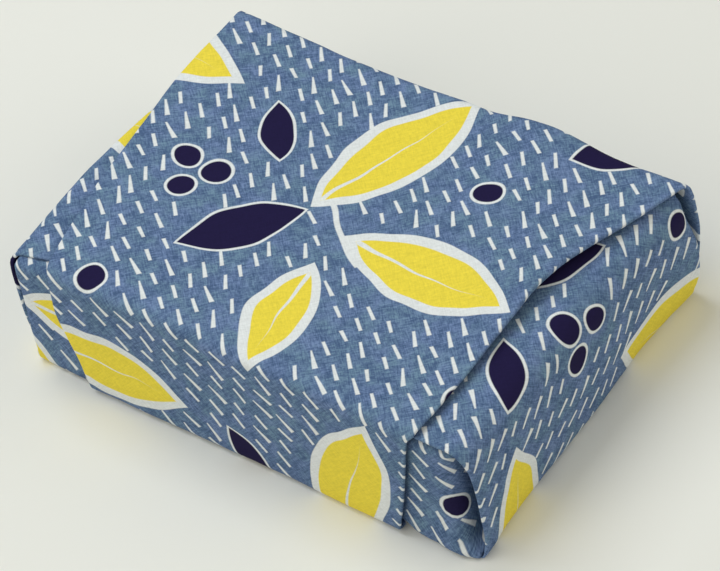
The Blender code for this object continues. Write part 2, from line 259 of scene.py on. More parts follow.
class Sheet:
    """The cloth's mesh while it is folded. Each vertex also keeps its place on the flat cloth."""

    def __init__(self) -> None:
        """Starts an empty mesh."""
        self.mesh = bmesh.new()
        self.plan = self.mesh.verts.layers.float_vector.new(PLAN_MAP)

    def vertex(self, place: Vector, plan: Vector) -> BMVert:
        """Adds a vertex.

        Args:
            place: where it is in the scene.
            plan: its place on the flat cloth, from the middle.

        Returns:
            The vertex.
        """
        vertex = self.mesh.verts.new(place)
        vertex[self.plan] = plan
        return vertex

    def skin(self, rows: Sequence[Sequence[BMVert]]) -> None:
        """Adds the faces between neighbouring rows.

        Args:
            rows: equally long rows of vertices.
        """
        for line, following in zip(rows, rows[1:]):
            for index in range(len(line) - 1):
                self.mesh.faces.new((line[index], line[index + 1], following[index + 1], following[index]))


@dataclass
class Flap:
    """One flap of the cloth: a cross-section with two turned-in sides, carried along a route.

    wall is the distance of its wall from the parcel's middle, and facing is the way that the wall faces.
    """
    parcel: Parcel
    wall: float
    columns: int
    facing: tuple[int, int] = (0, 1)
    arc_steps: int = 6
    strip_steps: int = 5
    strip_growth: float = 1.4
    lift_reach: float = 0.024
    puff: float = 0.25
    grid: list[list[BMVert]] = field(default_factory=list)

    def stations(self) -> list[Station]:
        """The flap's route."""
        raise NotImplementedError

    def edges(self, station: Station) -> tuple[Edge, Edge]:
        """The low and the high side at a station."""
        raise NotImplementedError

    def place(self, across: float, out: float, height: float = 0.0) -> Vector:
        """A place from its distances across and out: in the scene or, with no height, on the flat cloth."""
        x, y = self.facing
        return Vector((abs(y) * across + x * out, abs(x) * across + y * out, height))

    def grown(self, station: Station) -> float:
        """How far the layers have parted: 0 at the foot, where a pleat starts, and 1 a little above it."""
        return smooth_share(station.flat, 0.0, self.parcel.parting)

    def inset(self, station: Station) -> float:
        """How far the foot's bend draws the cloth in."""
        return max(0.0, self.wall - station.place.x) if station.run < ON_THE_WALL else 0.0

    def fold(self, station: Station, reach: float, lift: float, wide: float) -> Edge:
        """A folded edge, with the layer under it as wide as the pleat at that height allows.

        Args:
            station: where on the route.
            reach: where the fold is, across the flap.
            lift: how far it lifts off once the layers have parted.
            wide: greatest width of the layer under it.

        Returns:
            The edge.
        """
        grown = self.grown(station)
        radius = max((self.parcel.fold + self.puff * lift) / 2 * grown, TINY)
        return Edge(reach, min(station.flat, wide), lift * grown, radius, math.pi)

    def half_section(self, edge: Edge, side: int,
                     height: Callable[[float], float]) -> list[tuple[float, Vector]]:
        """Points from the start of an edge's turn to the end of the layer under it.

        Args:
            edge: the side's sizes.
            side: 1 or -1 across the flap.
            height: how far the cloth is raised at a place across.

        Returns:
            Pairs of the place on the flat cloth and the point of the section.
        """
        middle = edge.reach - side * edge.radius
        raised = height(middle)
        centre = Vector((middle, raised - edge.radius))
        points = []
        for step in range(self.arc_steps + 1):
            angle = edge.angle * step / self.arc_steps
            lean = Vector((side * math.sin(angle), math.cos(angle)))
            points.append((middle + side * edge.radius * angle, centre + lean * edge.radius))
        flat, end = points[-1]
        onward = Vector((side * math.cos(edge.angle), -math.sin(edge.angle)))
        folded = max(0.0, -math.cos(edge.angle))
        for step in range(1, self.strip_steps + 1):
            far = edge.tuck * (step / self.strip_steps) ** self.strip_growth
            point = end + onward * far
            point.y += folded * (1 - self.puff) * (height(point.x) - raised)
            points.append((flat + side * far, point))
        return points

    def section(self, station: Station) -> list[tuple[float, Vector]]:
        """The whole cross-section, from the end of the low tuck to the end of the high one.

        Args:
            station: where on the route.

        Returns:
            Pairs of the place on the flat cloth and the point of the section.
        """
        low, high = self.edges(station)

        def height(across: float) -> float:
            """How far the two lifting edges raise the cloth at a place across."""
            return sum(edge.lift * (1 - smooth_share(abs(across - edge.reach), 0, self.lift_reach))
                       for edge in (low, high))

        left = self.half_section(low, -1, height)
        right = self.half_section(high, 1, height)
        start, end = left[0][0], right[0][0]
        line = [start + (end - start) * step / self.columns for step in range(1, self.columns)]
        return left[::-1] + [(across, Vector((across, height(across)))) for across in line] + right

    def build(self, sheet: Sheet) -> None:
        """Adds the flap's faces.

        Args:
            sheet: the cloth that the flap is added to.
        """
        for station in self.stations():
            line = []
            for across, point in self.section(station):
                spot = station.place + station.outward * point.y
                plan = self.place(across, self.wall - self.parcel.foot_radius + station.flat)
                line.append(sheet.vertex(self.place(point.x, spot.x, spot.y), plan))
            self.grid.append(line)
        sheet.skin(self.grid)


@dataclass
class CoveredFlap(Flap):
    """A flap that goes up a wall and over the top, where another flap covers it."""
    reach_over: float = 0.142
    layers_down: int = 2
    turn: Bend = Bend(0.0075, 10)
    fine_pitch: float = 0.0012
    lip: float = 0.026
    top_tuck: float = 0.044
    least_tuck: float = 0.0005
    narrowing: float = 0.004

    def stations(self) -> list[Station]:
        """Up the wall and over the top. Past the lip the flap is hidden, and the stations lie further apart.

        Returns:
            The stations.
        """
        parcel, wall, turn = self.parcel, self.wall, self.turn.radius
        level = parcel.top - self.layers_down * parcel.layer
        points = [Vector((wall - parcel.lead, parcel.base_level)), Vector((wall, parcel.base_level)),
                  Vector((wall, level)), Vector((wall - self.reach_over, level))]
        upper = spaced(parcel.wall_rows[-1], level - parcel.base_level - turn, self.fine_pitch)[1:]
        over = spaced(turn, self.lip, parcel.pitch)
        over += spaced(self.lip, self.reach_over, parcel.hidden_pitch)[1:]
        return route(points, (parcel.foot, self.turn), (parcel.approach, parcel.wall_rows + upper, over))

    def corner(self, station: Station, level: float, rows: Sequence[Row]) -> Edge:
        """A turn round an upright corner, onto the next face, in the pleat's slanting width.

        Args:
            station: where on the route.
            level: level of the next face's flap.
            rows: how much further in the corner stands, as its reach, and its radius.

        Returns:
            The edge. Above the pleat it narrows, and over the top it is folded under.
        """
        parcel, grown, row = self.parcel, self.grown(station), row_at(rows, station.run)
        reach = level - self.inset(station) - (2 * parcel.layer + row.reach) * grown
        if station.run > OVER_THE_TOP:
            wide = 2 * (station.run - 1) * self.reach_over
            wide = max(min(self.top_tuck, wide), self.least_tuck)
            return Edge(reach, wide, 0.0, parcel.thin_fold / 2, math.pi)
        narrow = 1 - smooth_share(station.flat, parcel.pleat_top, parcel.pleat_top + self.narrowing)
        wide = max(station.flat * narrow, self.least_tuck * grown)
        return Edge(reach, wide, 0.0, max(row.radius * grown, TINY), math.pi / 2)


@dataclass
class NearFlap(CoveredFlap):
    """The flap that goes up the front first and lies under all the others on the top."""
    facing: tuple[int, int] = (0, -1)
    reach_over: float = 0.112
    layers_down: int = 4
    turn: Bend = Bend(0.0022, 4)
    fine_pitch: float = 0.001
    lip: float = 0.012
    left_rows: tuple[Row, ...] = (
        Row(0.0, -0.0016, 0, 0.0018), Row(0.5, -0.0014, 0, 0.002), Row(0.85, -0.0012, 0, 0.0018),
        Row(1.0, -0.0002, 0, 0.0014), Row(1.1, 0.0008, 0, 0.0012),
    )
    right_rows: tuple[Row, ...] = (
        Row(0.0, 0.0006, 0, 0.003), Row(0.12, 0.0032, 0, 0.0048), Row(0.4, 0.004, 0, 0.006),
        Row(0.65, 0.004, 0, 0.006), Row(0.8, 0.0038, 0, 0.0056), Row(0.92, 0.0036, 0, 0.004),
        Row(1.0, 0.0036, 0, 0.0016), Row(1.1, 0.004, 0, 0.001),
    )

    def edges(self, station: Station) -> tuple[Edge, Edge]:
        """Both sides turn round the upright corners."""
        low = self.corner(station, self.parcel.end, self.left_rows)
        return low._replace(reach=-low.reach), self.corner(station, self.parcel.end, self.right_rows)


@dataclass
class SideFlap(CoveredFlap):
    """The right side flap. Its front edge is folded in, and its back edge goes round the corner."""
    facing: tuple[int, int] = (1, 0)
    front_rows: tuple[Row, ...] = (
        Row(0.0, 0.0016), Row(0.12, 0.0024), Row(0.36, 0.0026), Row(0.55, 0.0022, 0.0003),
        Row(0.77, 0.0012, 0.0004), Row(0.9, 0.0002, 0.0001), Row(1.0, 0), Row(1.1, 0), Row(2.0, 0),
    )
    back_rows: tuple[Row, ...] = (
        Row(0.0, 0.0004, 0, 0.0022), Row(0.25, -0.0004, 0, 0.0016), Row(0.45, -0.0007, 0, 0.0018),
        Row(0.62, -0.0006, 0, 0.003), Row(0.78, -0.0002, 0, 0.0044), Row(0.9, 0.0002, 0, 0.004),
        Row(1.0, 0.0006, 0, 0.0016), Row(1.1, 0.0008, 0, 0.001),
    )

    def edges(self, station: Station) -> tuple[Edge, Edge]:
        """The folded edge in front and the corner at the back.

        Args:
            station: where on the route.

        Returns:
            The low and the high side.
        """
        row = row_at(self.front_rows, station.run)
        drawn_in = self.inset(station) + row.reach * self.grown(station)
        low = self.fold(station, drawn_in - self.parcel.front, row.lift, self.top_tuck)
        return low, self.corner(station, self.parcel.back, self.back_rows)


@dataclass
class LeftFlap(SideFlap):
    """The left side flap lies under the right one. Its front edge slants back on the top."""
    facing: tuple[int, int] = (-1, 0)
    layers_down: int = 3
    turn: Bend = Bend(0.0036, 5)
    front_rows: tuple[Row, ...] = (
        Row(0.0, 0.0034), Row(0.12, 0.0026), Row(0.32, 0.0012), Row(0.55, 0.0004), Row(0.8, 0.0003),
        Row(0.92, 0.0009), Row(0.98, 0.0018), Row(1.03, 0.0032), Row(1.09, 0.0048, 0.0003),
        Row(1.2, 0.0058), Row(2.0, 0.008),
    )


@dataclass
class ClosingFlap(Flap):
    """The last flap: up the back, over the top, down the front and under the base. Both edges are folds."""
    tip_reach: float = 0.0925
    tip_pitch: float = 0.0045
    hem: float = 0.0035
    widest_tuck: float = 0.050
    turn: Bend = Bend(0.0035, 6)
    under_turn: Bend = Bend(0.0030, 5)
    left_rows: tuple[Row, ...] = (
        Row(0.0, -0.079), Row(0.5, -0.0796, 0.0003), Row(0.9, -0.0798, 0.0001), Row(1.0, -0.0796),
        Row(1.2, -0.0785, 0.0002), Row(1.34, -0.0768, 0.0002), Row(1.5, -0.073, 0.0003),
        Row(1.7, -0.0702, 0.0002), Row(1.86, -0.0674, 0.0001), Row(1.95, -0.0652), Row(2.02, -0.0634),
        Row(2.2, -0.0634, 0.0001), Row(2.4, -0.0632, 0.0002), Row(2.7, -0.0592, 0.0001),
        Row(3.0, -0.056), Row(3.32, -0.053), Row(4.0, -0.008),
    )
    right_rows: tuple[Row, ...] = (
        Row(0.0, 0.078), Row(0.2, 0.0776), Row(0.45, 0.0786, 0.0003), Row(0.63, 0.0797, 0.0008),
        Row(0.86, 0.0798, 0.0009), Row(0.95, 0.079, 0.0006), Row(1.02, 0.0782, 0.0003),
        Row(1.19, 0.0729, 0.0012), Row(1.24, 0.071, 0.0018), Row(1.35, 0.0672, 0.003),
        Row(1.47, 0.0645, 0.0032), Row(1.62, 0.0642, 0.0018), Row(1.82, 0.0639, 0.0003),
        Row(2.0, 0.0634), Row(2.06, 0.0618), Row(2.45, 0.0584, 0.0002), Row(3.0, 0.0538),
        Row(3.32, 0.05), Row(4.0, 0.005),
    )

    def stations(self) -> list[Station]:
        """The whole way round the parcel, further apart under the base.

        Returns:
            The stations.
        """
        parcel, turn, under = self.parcel, self.turn.radius, self.under_turn.radius
        back, floor = self.wall, parcel.cloth / 2
        points = [Vector((back - parcel.lead, parcel.base_level)), Vector((back, parcel.base_level)),
                  Vector((back, parcel.top)), Vector((-back, parcel.top)), Vector((-back, floor)),
                  Vector((-back + self.tip_reach, floor))]
        upper = spaced(parcel.wall_rows[-1], parcel.top - parcel.base_level - turn, parcel.pitch)[1:]
        over = spaced(turn, 2 * back - turn, parcel.pitch)
        down = spaced(turn, parcel.top - floor - under, parcel.pitch)
        tip = spaced(under, self.tip_reach, self.tip_pitch)
        bends = (parcel.foot, self.turn, self.turn, self.under_turn)
        return route(points, bends, (parcel.approach, parcel.wall_rows + upper, over, down, tip))

    def edges(self, station: Station) -> tuple[Edge, Edge]:
        """Two folds. The layers under them follow the square's edge, and the tip has only its hem.

        Args:
            station: where on the route.

        Returns:
            The low and the high side.
        """
        parcel = self.parcel
        used = self.wall - parcel.foot_radius + station.flat
        half_width = parcel.square / math.sqrt(2) - used
        found = []
        for side, rows in ((-1, self.left_rows), (1, self.right_rows)):
            row = row_at(rows, station.run)
            wide = min(self.widest_tuck, max(half_width - abs(row.reach), self.hem))
            past_end = (row.reach - side * parcel.end) * self.grown(station)
            reach = side * (parcel.end - self.inset(station)) + past_end
            found.append(self.fold(station, reach, row.lift, wide))
        return found[0], found[1]


@dataclass
class WrappedCloth:
    """The cotton square, folded round the parcel."""
    parcel: Parcel = field(default_factory=Parcel)
    columns_along: int = 80
    columns_deep: int = 60
    swells: tuple[Swell, ...] = (
        Swell((0.47, 0.95, 0.97), (0.014, 0.022, 0.021), (0, 0, 0.003)),  # layers heaped at the back
        Swell((0.13, 0.97, 0.97), (0.006, 0.01, 0.018), (0, 0, -0.0012)),
        Swell((0.65, 0.97, 0.97), (0.012, 0.018, 0.018), (0, 0, -0.0021)),  # and falls away beside them
        Swell((-0.31, 0.97, 0.97), (0.026, 0.026, 0.026), (0, 0, -0.0031)),  # the back edge sags on the left
        Swell((-0.98, -0.36, 0.8), (0.025, 0.025, 0.025), (-0.0013, 0, 0.0004)),  # the left end stands out
        Swell((-1, -0.1, 0.93), (0.011, 0.028, 0.012), (-0.0013, 0, 0.0006)),
        Swell((0, 0, 0.97), (0.032, 0.032, 0.032), (0, 0, -0.001)),  # the top dips in the middle
        Swell((-0.56, -0.52, 0.97), (0.02, 0.02, 0.02), (0, 0, 0.0007)),
        Swell((0.56, -0.6, 0.97), (0.018, 0.018, 0.018), (0, 0, -0.0006)),
        Swell((1, 0.1, 0.95), (0.01, 0.03, 0.01), (-0.0016, 0, -0.0015)),  # the right top edge is soft
        Swell((1, -0.1, 0.46), (0.026, 0.026, 0.018), (0.0012, 0, 0)),  # the right end bulges
        Swell((1, 0.3, 0.02), (0.016, 0.04, 0.01), (-0.0022, 0, 0)),  # and its foot is drawn in
        Swell((1, 0.8, 0), (0.016, 0.026, 0.005), (-0.0024, 0, 0)),
        Swell((1, -0.5, 0), (0.016, 0.024, 0.005), (-0.0012, 0, 0)),
        Swell((1, -0.92, 0.1), (0.01, 0.008, 0.01), (0.0012, 0, 0)),
        Swell((1, -0.97, 0.02), (0.003, 0.006, 0.008), (0, 0.0018, 0)),
        Swell((1, 1, 0.42), (0.012, 0.01, 0.009), (0.0016, 0.0013, 0)),  # back right edge stands out
        Swell((1, 1, 0.2), (0.009, 0.009, 0.005), (0.0012, 0.0008, 0)),
        Swell((-0.12, -1, 0.46), (0.034, 0.034, 0.034), (0, 0.0009, 0)),  # the front is slightly hollow
        Swell((0, 1, 0.46), (0.034, 0.034, 0.034), (0, 0.0007, 0)),
        Swell((0.91, -0.96, 0.03), (0.008, 0.006, 0.007), (0, -0.0017, 0)),
        Swell((-1, -1, 0.02), (0.006, 0.006, 0.006), (0.0008, 0.0004, 0)),  # front left foot is round
    )
    creases: tuple[Crease, ...] = (
        Crease((0.79, -0.96, 0.42), (0.89, -0.96, 0.2), 0.0017, (0, 0.0007, 0)),
        Crease((0.85, -0.96, 0.46), (0.94, -0.96, 0.22), 0.0015, (0, 0.0005, 0)),
        Crease((0.76, -0.96, 0.26), (0.84, -0.96, 0.03), 0.0015, (0, 0.0005, 0)),
        Crease((-0.44, -1, 0.96), (-0.3, -1, 0.42), 0.005, (0, 0.0004, 0)),
        Crease((0.36, -1, 0.9), (0.46, -1, 0.34), 0.0045, (0, 0.0004, 0)),
        Crease((0.16, 0.86, 1), (0.3, 0.3, 1), 0.006, (0, 0, -0.0006)),
        Crease((-0.8, -0.6, 1), (-0.3, -0.3, 1), 0.006, (0, 0, -0.0004)),
        Crease((1, -0.5, 0.76), (1, 0.2, 0.6), 0.005, (-0.0004, 0, 0)),
    )
    ripples: tuple[tuple[float, float], ...] = ((0.021, 0.00042), (0.0085, 0.00016))
    seed: int = 7
    tongue_width: float = 0.0555
    tongue_taper: float = 0.52
    sag_reach: float = 0.005
    low: float = 0.004
    high: float = 0.014
    crease_ends: float = 0.12
    weld: float = 2e-5

    def build(self) -> bpy.types.Object:
        """Makes the folded sheet as one piece.

        Returns:
            The cloth's object, with its places on the flat square in a UV map.
        """
        parcel = self.parcel
        near = NearFlap(parcel, parcel.front, self.columns_along)
        right = SideFlap(parcel, parcel.end, self.columns_deep)
        left = LeftFlap(parcel, parcel.end, self.columns_deep)
        closing = ClosingFlap(parcel, parcel.back, self.columns_along)
        sheet = Sheet()
        for flap in (near, right, left, closing):
            flap.build(sheet)
        for first, one, second, two in (
            (near, -1, right, 0), (near, 0, left, 0), (right, -1, closing, -1), (left, -1, closing, 0),
        ):
            rows = zip(first.grid[:self.pleat_rows(first)], second.grid)
            self.join_pleat(sheet, [(first_row[one], second_row[two]) for first_row, second_row in rows])
        self.base_panel(sheet)
        bmesh.ops.remove_doubles(sheet.mesh, verts=sheet.mesh.verts, dist=self.weld)
        bmesh.ops.dissolve_degenerate(sheet.mesh, edges=sheet.mesh.edges, dist=TINY)
        bmesh.ops.recalc_face_normals(sheet.mesh, faces=sheet.mesh.faces)
        cloth = self.settle(sheet)
        thick = cloth.modifiers.new("cotton", "SOLIDIFY")
        thick.thickness = parcel.cloth
        thick.offset = 0.0
        thick.use_even_offset = False
        return cloth

    def dress(self, cloth: bpy.types.Object) -> None:
        """Gives the cloth its print, and says what it is to the frame.

        Args:
            cloth: the folded sheet.
        """
        side = self.parcel.square
        cloth.data.materials.append(PrintedCotton().material(side))
        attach(cloth, "root")
        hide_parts("furoshiki_cloth")

    def join_pleat(self, sheet: Sheet, pairs: Sequence[tuple[BMVert, BMVert]]) -> None:
        """Closes the slanting fold of a pleat, where two flaps' hidden layers meet.

        Args:
            sheet: the cloth.
            pairs: the vertices at which the two flaps end there, row by row.
        """
        along_wall = pairs[-1][0].co - pairs[0][0].co
        along_wall.z = 0
        rows = []
        for one, two in pairs:
            bulge = along_wall.normalized() * (one.co - two.co).length / 2
            middle = sheet.vertex((one.co + two.co) / 2 + bulge, (one[sheet.plan] + two[sheet.plan]) / 2)
            rows.append((one, middle, two))
        sheet.skin(rows)

    def pleat_rows(self, flap: Flap) -> int:
        """How many rows of a flap lie in its pleats."""
        return sum(station.run < 1 and station.flat <= self.parcel.pleat_top for station in flap.stations())

    def base_panel(self, sheet: Sheet) -> None:
        """Adds the panel under the parcel, whose rim is the flaps' first row.

        Args:
            sheet: the cloth.
        """
        parcel = self.parcel
        end, front, back = (level - parcel.foot_radius for level in (parcel.end, parcel.front, parcel.back))
        along = np.linspace(-end, end, self.columns_along + 1)
        deep = np.linspace(-front, back, self.columns_deep + 1)
        sheet.skin([[sheet.vertex((x, y, parcel.base_level), (x, y, 0)) for x in along] for y in deep])

    def settle(self, sheet: Sheet) -> bpy.types.Object:
        """Lets the cloth bulge, crease and sag, and makes it an object.

        Args:
            sheet: the folded cloth, which is freed.

        Returns:
            The object.
        """
        shape = sheet.mesh
        places = np.array([vertex.co[:] for vertex in shape.verts])
        for vertex, place in zip(shape.verts, places + self.unevenness(places)):
            vertex.co = Vector(place) + self.parcel.shift
        chart = shape.loops.layers.uv.new(PLAN_MAP)
        for face in shape.faces:
            face.smooth = True
            for corner in face.loops:
                spot = corner.vert[sheet.plan]
                diagonal = Vector((spot.x + spot.y, spot.x - spot.y)) / math.sqrt(2)
                corner[chart].uv = diagonal / self.parcel.square + Vector((0.5, 0.5))
        mesh = bpy.data.meshes.new("wrapped_cloth")
        shape.to_mesh(mesh)
        shape.free()
        cloth = bpy.data.objects.new("wrapped_cloth", mesh)
        bpy.context.collection.objects.link(cloth)
        return cloth

    def unevenness(self, places: np.ndarray) -> np.ndarray:
        """How far each point is pushed by the swells, the creases, the ripples and the sag of the foot.

        Args:
            places: the points, one row each.

        Returns:
            The pushes, one row each.
        """
        pushes = np.zeros_like(places)
        for swell in self.swells:
            away = (places - self.parcel.place(swell.centre)) / swell.spread
            pushes += np.exp(-(away ** 2).sum(1) / 2)[:, None] * swell.push
        for crease in self.creases:
            start, end = self.parcel.place(crease.start), self.parcel.place(crease.end)
            along = end - start
            far = np.clip(((places - start) @ along) / (along @ along), 0, 1)
            distance = np.linalg.norm(places - (start + far[:, None] * along), axis=1)
            taper = np.sin(math.pi * (self.crease_ends + (1 - 2 * self.crease_ends) * far))
            pushes += (taper * np.exp(-(distance / crease.width) ** 2))[:, None] * crease.push
        noise.seed_set(self.seed)
        for wave, height in self.ripples:
            pushes += np.array([noise.noise_vector(Vector(place) / wave)[:] for place in places]) * height
        pushes[:, 2] *= smooth_share(places[:, 2], self.low, self.high)
        pushes[:, 2] -= self.sag(places)
        return pushes

    def sag(self, places: np.ndarray) -> np.ndarray:
        """How far the cloth round the foot hangs down to the floor, beside the closing flap's tip.

        Args:
            places: the points, one row each.

        Returns:
            The drops.
        """
        parcel = self.parcel
        half_width = self.tongue_width - self.tongue_taper * (places[:, 1] + parcel.back)
        beside = smooth_share(np.abs(places[:, 0]) - half_width, 0.0, self.sag_reach)
        low = 1 - smooth_share(places[:, 2], parcel.base_level, self.high)
        above_tip = places[:, 2] > parcel.base_level - parcel.fold
        return (parcel.base_level - parcel.cloth / 2) * beside * low * above_tip


# ---------------------------------------------------------------- shader expressions

class Maths(Enum):
    """The operations of a Math node that the finishes use."""
    ADD = "ADD"
    SUBTRACT = "SUBTRACT"
    MULTIPLY = "MULTIPLY"
    DIVIDE = "DIVIDE"
    MINIMUM = "MINIMUM"
    MAXIMUM = "MAXIMUM"
    ABSOLUTE = "ABSOLUTE"
    FLOOR = "FLOOR"
    MODULO = "FLOORED_MODULO"
    POWER = "POWER"


class Tree:
    """A material's nodes."""

    def __init__(self, name: str) -> None:
        """Makes a material with only a Principled BSDF.

        Args:
            name: the material's name.
        """
        self.material = bpy.data.materials.new(name)
        self.material.use_nodes = True
        self.nodes = self.material.node_tree.nodes
        self.links = self.material.node_tree.links
        self.shader = self.nodes["Principled BSDF"]

    def node(self, kind: str, settings: dict | None = None, inputs: dict | None = None,
             output: int | str = 0) -> "Value":
        """Adds a node.

        Args:
            kind: the node's type, such as ShaderNodeMath.
            settings: its properties, set before its sockets.
            inputs: a value or a link for each named or numbered socket.
            output: the socket that is handed back.

        Returns:
            The wrapped output socket.
        """
        made = self.nodes.new(kind)
        for name, setting in (settings or {}).items():
            setattr(made, name, setting)
        self.feed(inputs or {}, made)
        return Value(self, made.outputs[output])

    def feed(self, inputs: dict, node: bpy.types.Node | None = None) -> None:
        """Sets or links sockets of a node, or else of the Principled BSDF.

        Args:
            inputs: a value or a link for each named or numbered socket.
            node: the node.
        """
        for name, value in inputs.items():
            socket = (node or self.shader).inputs[name]
            if isinstance(value, Value):
                self.links.new(value.socket, socket)
            else:
                socket.default_value = value


class Value:
    """A socket that can be used in Python expressions."""

    def __init__(self, tree: Tree, socket: bpy.types.NodeSocket) -> None:
        """Wraps an output socket of a tree."""
        self.tree = tree
        self.socket = socket

    def maths(self, operation: Maths, *others: "Value | float", clamp: bool = False) -> "Value":
        """This value and the others through a Math node, which may keep the result between 0 and 1."""
        inputs = dict(enumerate((self, *others)))
        return self.tree.node("ShaderNodeMath", {"operation": operation.value, "use_clamp": clamp}, inputs)

    __add__ = __radd__ = partialmethod(maths, Maths.ADD)
    __mul__ = __rmul__ = partialmethod(maths, Maths.MULTIPLY)
    __sub__ = partialmethod(maths, Maths.SUBTRACT)
    __truediv__ = partialmethod(maths, Maths.DIVIDE)
    __mod__ = partialmethod(maths, Maths.MODULO)
    __pow__ = partialmethod(maths, Maths.POWER)
    __abs__ = partialmethod(maths, Maths.ABSOLUTE)
    least = partialmethod(maths, Maths.MINIMUM)
    most = partialmethod(maths, Maths.MAXIMUM)
    floor = partialmethod(maths, Maths.FLOOR)

    def __rsub__(self, other: float) -> "Value":
        """The difference from a number."""
        return (self * -1.0) + other

    def clamped(self) -> "Value":
        """The value, kept between 0 and 1."""
        return self.maths(Maths.MULTIPLY, 1.0, clamp=True)

    def above(self, level: float, soft: float) -> "Value":
        """1 where the value is above a level and 0 below it, with a soft edge that wide."""
        return ((self - level) / soft + 0.5).clamped()

    def parts(self, count: int) -> list["Value"]:
        """The first few numbers of a vector or a colour."""
        return [self.tree.node("ShaderNodeSeparateXYZ", None, {0: self}, axis) for axis in range(count)]


def mixed(share: Value, first: "Value | tuple", second: "Value | tuple") -> Value:
    """A colour between two: share 0 gives the first, 1 the second."""
    inputs = {MIX_SHARE: share, MIX_FIRST: first, MIX_SECOND: second}
    return share.tree.node("ShaderNodeMix", {"data_type": "RGBA"}, inputs, MIX_RESULT)


def largest(values: Iterable[Value]) -> Value:
    """The largest of several values."""
    return reduce(Value.most, values)


# ---------------------------------------------------------------- finishes

class Spot(NamedTuple):
    """A place on the flat cloth or on the print's repeat, in millimetres from its middle."""
    x: Value
    y: Value


class Leaf(NamedTuple):
    """A printed leaf, in millimetres on the repeat, and degrees."""
    x: float
    y: float
    half_length: float
    half_width: float
    angle: float

    def along(self, spot: Spot) -> tuple[Value, Value]:
        """A place as the leaf has it.

        Args:
            spot: the place on the repeat.

        Returns:
            The place along the leaf, -1 to 1, and the distance from its midrib in millimetres.
        """
        turn = math.radians(self.angle)
        right, up = spot.x - self.x, spot.y - self.y
        length = (right * math.cos(turn) + up * math.sin(turn)) / self.half_length
        return length, abs(up * math.cos(turn) - right * math.sin(turn))

    def inside(self, spot: Spot) -> Value:
        """How far inside its outline a place is, in millimetres."""
        length, away = self.along(spot)
        return (1 - length * length) * self.half_width - away

    def in_rib(self, spot: Spot, end: float, width: float) -> Value:
        """How far inside its midrib a place is, in millimetres. The rib tapers, and stops before the tip."""
        length, away = self.along(spot)
        return ((end - length) * width - away).least(self.inside(spot))


class Berry(NamedTuple):
    """A printed berry, in millimetres on the repeat."""
    x: float
    y: float
    radius: float

    def inside(self, spot: Spot) -> Value:
        """How far inside its outline a place is, in millimetres."""
        right, up = spot.x - self.x, spot.y - self.y
        return self.radius - (right * right + up * up) ** 0.5


class Noise(NamedTuple):
    """Smooth noise: waves per millimetre both ways, a third coordinate that sets it apart, and its detail."""
    across: float
    along: float
    layer: float
    detail: float


@dataclass(frozen=True)
class Motif:
    """A sprig of leaves and berries that is repeated in a half-drop. Sizes are in millimetres."""
    repeat: float = 116.0
    start: tuple[float, float] = (4.0, -58.0)
    yellow_leaves: tuple[Leaf, ...] = (
        Leaf(-22, 22, 28, 10.5, 118), Leaf(30, 21, 26, 9.5, 42), Leaf(33, -22, 18, 7.0, -38),
    )
    navy_leaves: tuple[Leaf, ...] = (Leaf(-4, -27, 19, 8.0, -84), Leaf(-41, -10, 12, 5.0, 172))
    berries: tuple[Berry, ...] = (
        Berry(-28, -30, 4.6), Berry(-37, -37, 4.2), Berry(-25, -41, 3.8), Berry(4, 44, 4.0),
    )
    stem_half_length: float = 21.0
    stem_half_width: float = 0.8
    stem_bend: float = 0.006
    border: float = 3.2
    outline: float = 0.9
    rib_end: float = 0.55
    rib_width: float = 0.48


@dataclass(frozen=True)
class Dashes:
    """Rows of short hand-cut dashes between the sprigs. Sizes are in millimetres."""
    gap_across: float = 4.8
    gap_along: float = 9.8
    stagger: float = 3.0
    half_length: float = 2.9
    half_width: float = 0.52
    uneven_length: float = 0.5
    lean: float = 0.40
    wander: float = 1.2
    taper: float = 0.11
    taper_back: float = 0.25
    clear: float = 2.6
    sharp: float = 0.01


